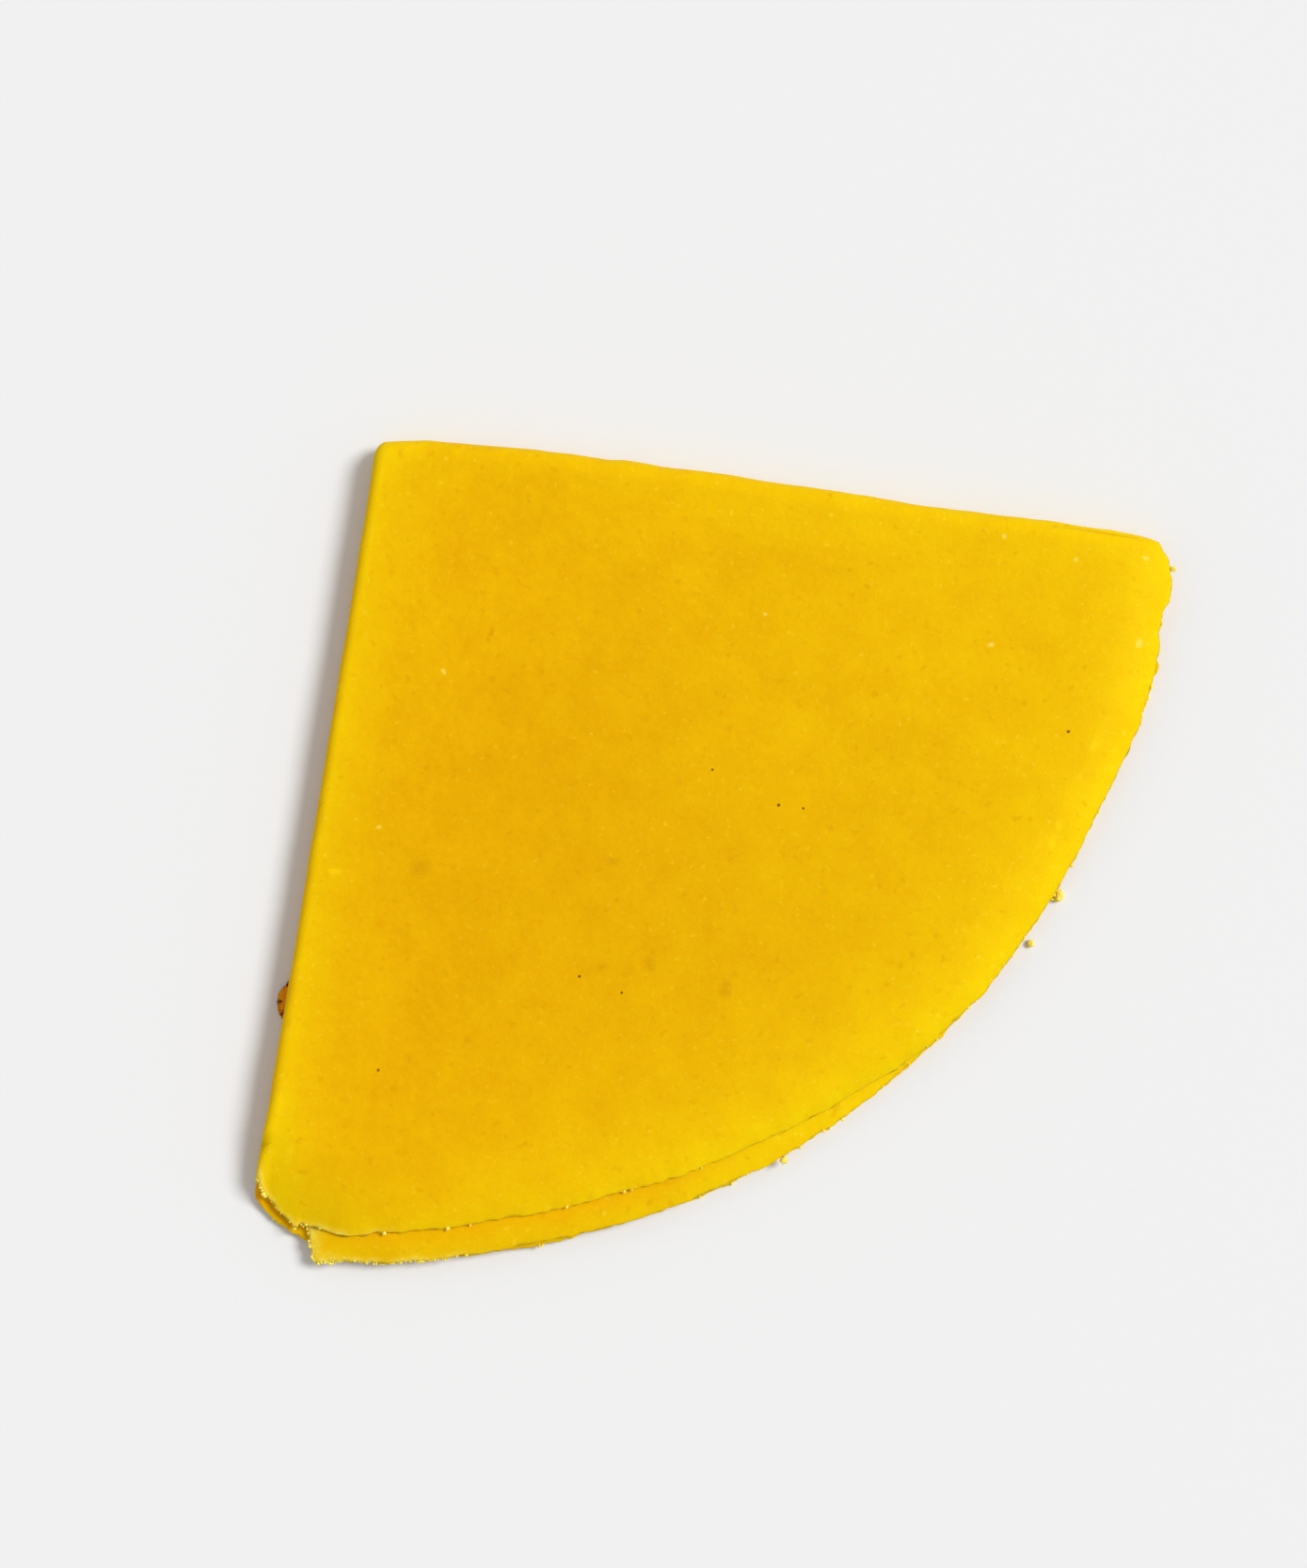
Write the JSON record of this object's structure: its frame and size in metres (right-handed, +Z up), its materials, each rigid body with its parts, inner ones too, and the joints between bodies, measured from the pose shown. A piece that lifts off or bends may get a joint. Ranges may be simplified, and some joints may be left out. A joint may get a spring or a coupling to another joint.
{
  "type": "folded flatbread",
  "caption": "Round, thin, soft yellow flatbread folded in half and in half again into a quarter disc, lying flat, with loose crumbs at its open edge.",
  "frame": {"origin": "on the surface the bread lies on, under the middle of its bounding box", "axes": "+Z up; +X along the back folded edge, away from the folded corner; the folded corner is at the back left and the open curved edge faces -Y and +X"},
  "size_m": [0.191, 0.186, 0.0089],
  "materials": {
    "dough": "soft cooked dough skin, satin, finely mottled",
    "crumb": "dry crumbly filling, matt"
  },
  "bodies": {
    "root": {"folded_flatbread": "dough", "crumb_1": "crumb", "crumb_2": "crumb"}
  },
  "joints": []
}
